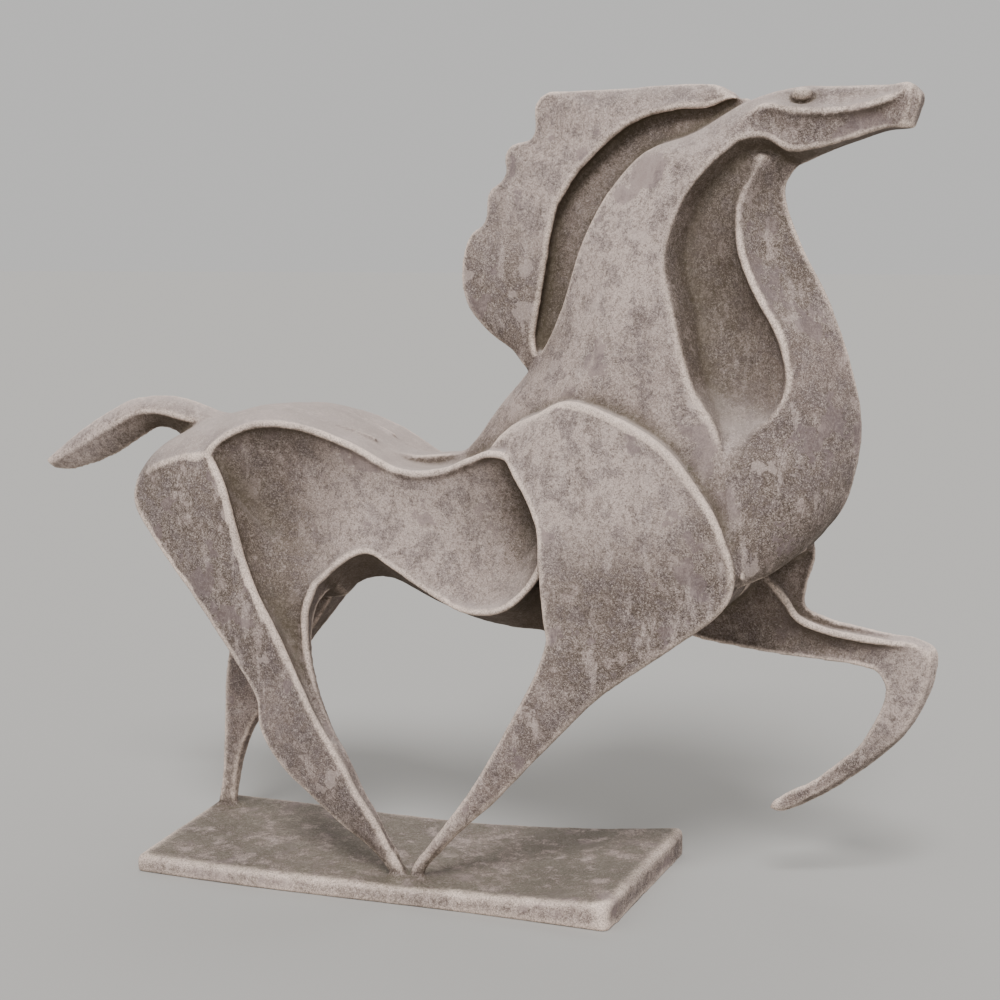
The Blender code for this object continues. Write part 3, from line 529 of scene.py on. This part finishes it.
def tail():
    """Short tail swept back and down: top, side ridge, underside."""
    half = [
        [(-80, 0, 228), (-78, -10, 222), (-82, 0, 200)],
        [(-102, 0, 229), (-101, -10, 223), (-108, 0, 206)],
        [(-121, 0, 235), (-120, -9, 226), (-126, 0, 216)],
        [(-137, 0, 237), (-134, -9, 229), (-140, 0, 220)],
        [(-156, 0, 235), (-148, -8, 229), (-152, 0, 214)],
        [(-175, 0, 226), (-164, -8, 222), (-169, 0, 204)],
        [(-193, 0, 215), (-185, -6, 211), (-187, 0, 197)],
        [(-209, 0, 203), (-205, -4, 201), (-204, 0, 194)],
        [(-214, 0, 199), (-212, -2, 198), (-210, 0, 195)],
    ]
    return loft(both_sides(half), [1.5, 0.6, 0.6, 1.5], [RIM, RIDGE, 0.5 * RIM, RIDGE])


def ball(place, radii):
    """Ball: each point is its centre plus the radii times cosines and sines of two angles."""
    longitude = np.linspace(0, 2 * np.pi, BALL_SIDES, endpoint=False)[None, :]
    latitude = np.linspace(-np.pi / 2, np.pi / 2, BALL_RINGS)[1:-1, None]
    sphere = np.stack([np.cos(latitude) * np.cos(longitude), np.cos(latitude) * np.sin(longitude),
                       np.sin(latitude) * np.ones_like(longitude)], axis=2)
    return skin(np.array(place) + sphere * radii)


def eyes():
    """A lens-shaped eye on each side of the head."""
    x, y, z = EYE_PLACE
    return [ball((x, side, z), EYE_RADII) for side in (-y, y)]


def hoof_mounds():
    """Low swellings of the plinth where the hooves are carved into it."""
    return [ball((x, y, 0), (reach, 0.75 * reach, MOUND_HEIGHT)) for x, y, reach in MOUNDS]


def plinth():
    """Slab: a rounded rectangle carried along the length, drawn in by a quarter circle at
    each end. Its head end swells by a parabola and flares by a square, its ends are skewed
    in straight lines and its long edges waved by a cosine."""
    quarter = np.linspace(0, np.pi / 2, PLINTH_CUTS)
    inset = PLINTH_EDGE * (1 - np.sin(quarter))
    ends = PLINTH_EDGE * (1 - np.cos(quarter))
    middle = np.linspace(PLINTH_EDGE, PLINTH_LENGTH - PLINTH_EDGE, PLINTH_STATIONS)[1:-1]
    station = np.concatenate([ends, middle, PLINTH_LENGTH - ends[::-1]])[:, None]
    drawn_in = np.concatenate([inset, 0 * middle, inset[::-1]])[:, None]

    along_it = station / PLINTH_LENGTH - 0.5
    ahead = np.maximum(0, 2 * along_it)
    top = PLINTH_THICKNESS + PLINTH_RISE * ahead ** 2
    turn = np.concatenate([quarter + k * np.pi / 2 for k in range(4)])[None, :]
    side = np.where(np.cos(turn + 1e-6) > 0, 1, -1)
    above = np.where(np.sin(turn + 1e-6) > 0, 1, 0)
    across = side * (PLINTH_DEPTH / 2 - PLINTH_EDGE - drawn_in) + PLINTH_EDGE * np.cos(turn)
    height = (above * (top - PLINTH_EDGE - drawn_in) + PLINTH_EDGE * np.sin(turn)
              - (1 - above) * (UNDERCUT - PLINTH_EDGE))

    across_it = across / PLINTH_DEPTH
    swell = PLINTH_BOW * (1 - 4 * across_it ** 2) * ahead
    skew = PLINTH_HEAD_SKEW * (along_it + 0.5) + PLINTH_TAIL_SKEW * (0.5 - along_it)
    lag = PLINTH_WAVE_SHIFT * (0.5 - across_it)
    wave = PLINTH_WAVE * np.cos(2 * np.pi * (along_it - lag)) * 2 * across_it
    flare = PLINTH_FLARE * ahead ** 2 * (across_it + 0.5)
    x = PLINTH_TAIL_END + station + swell + skew * across_it
    y = across + PLINTH_DEPTH / 2 - PLINTH_NEAR_EDGE + flare - wave
    points = np.stack([x, y, height], axis=2)
    return [skin((points - (0, 0, GROUND)) / UNIT)]


def carved_forms():
    """Every form of the statue as one list of points and one of faces."""
    points, faces, start = [], [], 0
    for form in FORMS:
        for body, skins in form():
            points.append(body * UNIT + (0, 0, GROUND))
            faces += [tuple(corner + start for corner in face) for face in skins]
            start += len(body)
    return np.vstack(points), faces


def triangles_of(mesh):
    """Points and triangles of a mesh as arrays."""
    mesh.calc_loop_triangles()
    points = np.empty(len(mesh.vertices) * 3)
    mesh.vertices.foreach_get("co", points)
    corners = np.empty(len(mesh.loop_triangles) * 3, np.int32)
    mesh.loop_triangles.foreach_get("vertices", corners)
    return points.reshape(-1, 3), corners.reshape(-1, 3)


def modified(points, faces, modifiers, values=()):
    """Mesh of points and faces as its modifiers leave it, with any named values on its points."""
    mesh = bpy.data.meshes.new("carving_block")
    mesh.from_pydata(points.tolist(), [], faces)
    for name, numbers in values:
        mesh.attributes.new(name, "FLOAT", "POINT").data.foreach_set("value", numbers)
    carving = bpy.data.objects.new("carving_block", mesh)
    bpy.context.scene.collection.objects.link(carving)
    for kind, settings in modifiers:
        modifier = carving.modifiers.new(kind, kind)
        for name, value in settings.items():
            setattr(modifier, name, value)
    graph = bpy.context.evaluated_depsgraph_get()
    result = bpy.data.meshes.new_from_object(carving.evaluated_get(graph))
    bpy.data.objects.remove(carving)
    bpy.data.meshes.remove(mesh)
    return result


def summed(values, index, count):
    """Rows of values added up by index."""
    return np.stack([np.bincount(index, values[:, k], count) for k in range(values.shape[1])], 1)


def outward(points, corners):
    """Unit normal of each point: the sum of its triangles' cross products, made unit length."""
    a, b, c = (points[corners[:, k]] for k in range(3))
    faces = np.cross(b - a, c - a)
    return unit(sum(summed(faces, corners[:, k], len(points)) for k in range(3)))


def relaxed(points, edges, rounds):
    """Points moved halfway to the mean of their neighbours, over and over."""
    count = len(points)
    share = np.bincount(edges.ravel(), minlength=count)[:, None]
    for _ in range(rounds):
        around = summed(points[edges[:, 1]], edges[:, 0], count)
        around += summed(points[edges[:, 0]], edges[:, 1], count)
        points = 0.5 * points + 0.5 * around / share
    return points


def unevenness(points):
    """Hand-cut unevenness: products of sines in three turned directions, from -1 to 1."""
    ways = np.array([[0.8, 0.5, 0.3], [-0.4, 0.7, 0.6], [0.3, -0.6, 0.75]])
    turned = points @ ways.T
    total = 0
    for period, strength in ((0.034, 0.5), (0.019, 0.3), (0.009, 0.2)):
        wave = np.sin(2 * np.pi * turned / period + (1.0, 2.3, 4.1))
        total = total + strength * wave[:, 0] * wave[:, 1] + strength * 0.5 * wave[:, 2] ** 3
    return total


def eye_reach(points):
    """Distance from the eye's middle as seen from the side, in the eye's radii."""
    x, _, z = np.array(EYE_PLACE) * UNIT + (0, 0, GROUND)
    wide, _, high = np.array(EYE_RADII) * UNIT
    return np.hypot((points[:, 0] - x) / wide, (points[:, 2] - z) / high)


def lid_groove(points):
    """Groove below each eye: a bell curve of the distance from the eye's rim, 0 to 1."""
    middle, high = EYE_PLACE[2] * UNIT + GROUND, EYE_RADII[2] * UNIT
    below = np.clip((middle - points[:, 2]) / high + 0.6, 0, 1)
    return below * np.exp(-((eye_reach(points) - LID_REACH) / LID_WIDTH) ** 2)


def statue_piece():
    """The carved surface: fused forms, uneven by a fraction of a millimetre and flat below.

    Two values in millimetres follow the surface. Worn says how far a point stands above
    its near surroundings, as on a ridge. Sunk says how far it lies below its wider
    surroundings, as in a hollow.
    """
    fused = modified(*carved_forms(), (
        ("REMESH", {"mode": "VOXEL", "voxel_size": GRAIN}),
        ("SMOOTH", {"factor": 0.5, "iterations": SMOOTHING})))
    points, corners = triangles_of(fused)
    bpy.data.meshes.remove(fused)
    edges = np.vstack([corners[:, [0, 1]], corners[:, [1, 2]], corners[:, [2, 0]]])
    edges = edges[edges[:, 0] < edges[:, 1]]
    normal = outward(points, corners)
    near_by = relaxed(points, edges, NEAR_ROUNDS)
    further = relaxed(near_by, edges, WIDE_ROUNDS)
    worn = np.sum((points - near_by) * normal, axis=1) * 1000
    sunk = np.sum((further - points) * normal, axis=1) * 1000
    worn, sunk = (relaxed(v[:, None], edges, CALM_ROUNDS)[:, 0] for v in (worn, sunk))

    groove = lid_groove(points)
    sunk += LID_DARKENING * groove
    worn *= 1 - EYE_SPARED * np.exp(-(eye_reach(points) / LID_REACH) ** 4)
    thick = np.clip((points[:, 2] - THIN_BELOW) / THIN_BELOW, 0, 1)
    moved = (TOOL_MARKS * unevenness(points) - LID_DEPTH * groove
             - WEAR * thick * worn * 0.001)
    worn += EYE_WORN * np.exp(-(eye_reach(points) / EYE_BALL) ** 4)
    points += normal * moved[:, None]
    mesh = modified(points, corners.tolist(),
                    [("DECIMATE", {"ratio": TRIANGLES / len(corners)})],
                    (("worn", worn), ("sunk", sunk)))

    points, corners = triangles_of(mesh)
    low, high = points.min(axis=0), points.max(axis=0)
    low[2] = 0.0
    points[:, 2] = np.maximum(points[:, 2], 0.0)
    cad_low, cad_high = np.array(CAD_BOX)
    points = cad_low + (points - low) * (cad_high - cad_low) / (high - low)
    mesh.vertices.foreach_set("co", points.ravel())
    mesh.update()
    mesh.shade_smooth()
    mesh.name = "carved_horse"
    piece = bpy.data.objects.new("carved_horse", mesh)
    bpy.context.scene.collection.objects.link(piece)
    return piece


def colour(code):
    """sRGB hex turned to linear light, opaque."""
    parts = np.array([int(code[k:k + 2], 16) for k in (1, 3, 5)]) / 255
    linear = np.where(parts <= 0.04045, parts / 12.92, ((parts + 0.055) / 1.055) ** 2.4)
    return (*linear.tolist(), 1.0)


def add(tree, kind, links, **settings):
    """Add a node: settings are its properties, links its inputs' values or sockets to read."""
    made = tree.nodes.new(kind)
    for name, value in settings.items():
        setattr(made, name, value)
    for name, value in links.items():
        if isinstance(value, bpy.types.NodeSocket):
            tree.links.new(value, made.inputs[name])
        else:
            made.inputs[name].default_value = value
    return made


def weathered_stone_and_painted_light():
    """Carved limestone, left outdoors: dull and gritty, cream where ridges are worn bare, with
    painted highlight, light and shade in places, and brown and green as dirt and as painted shade
    in hollows and below."""
    material = bpy.data.materials.new("weathered_limestone_and_painted_light")
    material.use_nodes = True
    tree = material.node_tree
    shader = tree.nodes["Principled BSDF"]
    place = add(tree, "ShaderNodeTexCoord", {}).outputs["Object"]

    def grain(size_mm, detail, roughness, shift, stretch=(1, 1, 1), distortion=0.0):
        """Noise whose spots are about size_mm across."""
        spot = add(tree, "ShaderNodeMapping", {"Vector": place, "Scale": stretch,
                                               "Location": (shift, shift, shift)})
        noise = add(tree, "ShaderNodeTexNoise",
                    {"Vector": spot.outputs[0], "Scale": 1000 / size_mm, "Detail": detail,
                     "Roughness": roughness, "Distortion": distortion})
        return noise.outputs[0]

    def between(value, low, high, bottom=0.0, top=1.0):
        """Value from low to high turned smoothly into bottom to top."""
        return add(tree, "ShaderNodeMapRange",
                   {"Value": value, "From Min": low, "From Max": high, "To Min": bottom,
                    "To Max": top}, interpolation_type="SMOOTHSTEP").outputs[0]

    def combined(way, a, b=0.0):
        return add(tree, "ShaderNodeMath", {0: a, 1: b}, operation=way).outputs[0]

    def times(a, b):
        return combined("MULTIPLY", a, b)

    def over(mask, below, above):
        """Above laid over below where the mask is 1."""
        return add(tree, "ShaderNodeMixRGB",
                   {"Fac": mask, "Color1": below, "Color2": above}).outputs[0]

    def near(middle, reach, top):
        """Top near the middle, fading to 0 at about reach from it, with an uneven border."""
        away = add(tree, "ShaderNodeVectorMath", {0: place, 1: middle}, operation="DISTANCE")
        frayed = combined("ADD", away.outputs["Value"], times(mottle, FRAY))
        return between(frayed, reach + FRAY / 2, CORE * reach + FRAY / 2, 0, top)

    worn = add(tree, "ShaderNodeAttribute", {}, attribute_name="worn").outputs["Fac"]
    sunk = add(tree, "ShaderNodeAttribute", {}, attribute_name="sunk").outputs["Fac"]
    # ambient occlusion: drives the painted shade in recesses
    open_air = add(tree, "ShaderNodeAmbientOcclusion", {"Distance": OCCLUSION_REACH},
                   samples=5, only_local=True).outputs["AO"]
    facing = add(tree, "ShaderNodeSeparateXYZ",
                 {0: add(tree, "ShaderNodeNewGeometry", {}).outputs["Normal"]}).outputs["Z"]
    height = add(tree, "ShaderNodeSeparateXYZ", {0: place}).outputs["Z"]

    specks = grain(0.65, 3.0, 0.68, shift=0.0, distortion=1.2)
    grit = grain(2.2, 4.0, 0.7, shift=3.0, distortion=0.8)
    mottle = grain(11, 7.0, 0.68, shift=5.0)
    patches = grain(50, 4.0, 0.5, shift=8.0)
    runs = grain(7, 5.0, 0.65, shift=2.0, stretch=(1, 1, 0.3))
    skins = grain(26, 6.0, 0.6, shift=11.0)
    lace = grain(5, 5.0, 0.7, shift=14.0, distortion=2.0)

    # bare stone: warm taupe, painted paler in places as painted light and rain wash, and darker in
    # others as painted shade and stain, with mauve-grey and pale mottling and runs
    stone = over(between(patches, 0.38, 0.62), colour("#655752"), colour("#8b7972"))
    exposed = between(open_air, 0.75, 1.0)
    # painted light: paler stone where the key light falls fullest, on open places only
    for middle, reach in PAINTED_LIGHT_PLACES:
        stone = over(times(near(middle, reach, 0.9), exposed), stone, colour("#ccb8af"))
    # painted shade: darker stone where faces turn from the light
    for middle, reach in PAINTED_SHADE_PLACES:
        stone = over(near(middle, reach, 0.75), stone, colour("#57493f"))
    stone = over(between(mottle, 0.48, 0.58, 0, 0.6), stone, colour("#6c5f60"))
    stone = over(between(mottle, 0.46, 0.36, 0, 0.7), stone, colour("#b3a099"))
    stone = over(between(runs, 0.54, 0.66, 0, 0.45), stone, colour("#655651"))
    stone = over(between(runs, 0.45, 0.35, 0, 0.55), stone, colour("#c0aea7"))

    # pale threads of lime, in clusters
    thread = combined("ABSOLUTE", combined("SUBTRACT", lace, 0.5))
    threads = times(between(thread, 0.0, 0.03, 1, 0), between(skins, 0.44, 0.54, 0.15, 0.75))
    stone = over(threads, stone, colour("#c5b4ab"))

    # grit: dark pits and pale grains, but for smooth crusts with crisp borders and pale chips
    pitted = over(between(specks, 0.50, 0.39, 0, 0.62), stone, colour("#3f352d"))
    pitted = over(between(specks, 0.53, 0.63, 0, 0.55), pitted, colour("#ddcec3"))
    pitted = over(between(grit, 0.48, 0.38, 0, 0.42), pitted, colour("#4c4138"))
    crust = times(between(skins, 0.585, 0.597), between(open_air, 0.75, 0.95))
    chips = times(between(skins, 0.362, 0.352), between(open_air, 0.75, 0.95))
    stone = over(times(crust, 0.85), pitted, over(0.6, stone, colour("#7b6b6b")))
    stone = over(times(chips, 0.45), stone, colour("#c6b4ac"))

    # damp dirt and painted shade: brown-green dirt and painted shade where the stone is sunk,
    # painted shade where it faces down or little light reaches it, and dirt on the plinth's level
    # top
    shade = combined("MINIMUM", times(combined("SUBTRACT", 1.0, open_air), 2.4), 1.0)
    bed = between(sunk, 0.3, 2.4)
    # dirt and painted shade: brown and olive where the stone lies sunk below its surroundings
    stone = over(times(bed, between(mottle, 0.32, 0.62, 0.75, 0.4)), stone, colour("#615746"))
    stone = over(times(bed, between(mottle, 0.56, 0.66, 0, 0.5)), stone, colour("#50503a"))
    # painted shade: dark brown laid where ambient occlusion finds little open air
    stone = over(times(shade, between(grit, 0.36, 0.62, 0.85, 0.55)), stone, colour("#453a2a"))
    # painted shade: dark brown on surfaces that face down
    stone = over(between(facing, -0.25, -0.85, 0, 0.7), stone, colour("#423624"))
    low_down = times(between(height, 0.028, 0.012), between(facing, 0.4, 0.9))
    stone = over(times(low_down, between(mottle, 0.38, 0.58, 0.15, 0.65)), stone,
                 colour("#625c4d"))

    # pale dust and painted top light on what faces up
    stone = over(times(between(facing, 0.35, 0.95, 0, 0.6), between(height, 0.03, 0.05)),
                 stone, colour("#c9bab3"))

    # ridges worn pale, with painted highlight where they catch the light most, more in some places
    # than in others, grainy at their borders
    ragged = combined("ADD", times(grit, 0.45), times(mottle, 0.55))
    ragged = combined("SUBTRACT", ragged, times(bed, 0.10))
    rubbed_and_highlit = combined("ADD", worn, ragged)
    # painted highlight: paler ridges where the key light catches them most
    for middle, reach in WORN_AND_HIGHLIT_PLACES:
        rubbed_and_highlit = combined("ADD", rubbed_and_highlit, times(near(middle, reach, 0.3), between(worn, 0.0, 0.2)))
    rubbed_and_highlit = combined("ADD", rubbed_and_highlit, between(height, 0.013, 0.006, 0, 0.12))
    edge = times(between(rubbed_and_highlit, 0.56, 1.08), between(specks, 0.42, 0.56, 0.35, 1.0))
    edge = times(edge, between(patches, 0.38, 0.60, 0.65, 1.0))
    stone = over(edge, stone, colour("#ffe8d8"))

    bumps = combined("ADD", times(specks, 0.45), grit)
    rough = add(tree, "ShaderNodeBump", {"Height": bumps, "Strength": 0.5, "Distance": 0.0005})
    tree.links.new(stone, shader.inputs["Base Color"])
    tree.links.new(rough.outputs[0], shader.inputs["Normal"])
    shader.inputs["Roughness"].default_value = 0.82
    shader.inputs["Specular IOR Level"].default_value = 0.4
    return material


def plain_paper():
    """Matt pale card, so that the floor shows nothing but soft shadow."""
    material = bpy.data.materials.new("pale_card")
    material.use_nodes = True
    shader = material.node_tree.nodes["Principled BSDF"]
    shader.inputs["Base Color"].default_value = colour("#b2b0ad")
    shader.inputs["Roughness"].default_value = 1.0
    shader.inputs["Specular IOR Level"].default_value = 0.0
    return material


def studio():
    """Wide pale floor, soft lights from the front, right and behind, and pale surroundings."""
    bpy.ops.mesh.primitive_plane_add(size=FLOOR_SIZE, location=(0, 0, -FLOOR_DROP))
    floor = bpy.context.object
    floor.name = "floor"
    floor.data.materials.append(plain_paper())
    for name, spot, softness, strength in LAMPS:
        lamp = bpy.data.lights.new(name, "SUN")
        lamp.angle = np.radians(softness)
        lamp.energy = strength
        holder = bpy.data.objects.new(name, lamp)
        holder.location = spot
        holder.rotation_euler = (-Vector(spot)).to_track_quat("-Z", "Y").to_euler()
        bpy.context.scene.collection.objects.link(holder)
    world = bpy.data.worlds.new("pale_surroundings")
    world.use_nodes = True
    sky = world.node_tree.nodes["Background"]
    sky.inputs["Color"].default_value = colour("#fbfaf8")
    sky.inputs["Strength"].default_value = SURROUNDINGS
    bpy.context.scene.world = world


def viewpoint():
    """Camera on a ring round the target, looking back along the same line."""
    azimuth, elevation = np.radians((VIEW_AZIMUTH, VIEW_ELEVATION))
    back = Vector((np.sin(azimuth) * np.cos(elevation), -np.cos(azimuth) * np.cos(elevation),
                   np.sin(elevation)))
    right = Vector((np.cos(azimuth), np.sin(azimuth), 0))
    up = back.cross(right)
    lens = bpy.data.cameras.new("camera")
    lens.angle = np.radians(VIEW_ANGLE)
    camera = bpy.data.objects.new("camera", lens)
    turn = Matrix((right, up, back)).transposed().to_4x4()
    camera.matrix_world = Matrix.Translation(VIEW_TARGET + back * VIEW_DISTANCE) @ turn
    bpy.context.scene.collection.objects.link(camera)
    bpy.context.scene.camera = camera


FORMS = (near_flank, far_flank, near_haunch, far_haunch, torso, near_foreleg, far_shoulder,
         raised_foreleg, neck_and_head, muzzle_rims, prow, mane, crest_groove, tail, eyes,
         hoof_mounds, plinth)

horse = statue_piece()
horse.data.materials.append(weathered_stone_and_painted_light())
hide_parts("horse_statue")
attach(horse, "root")
studio()
viewpoint()
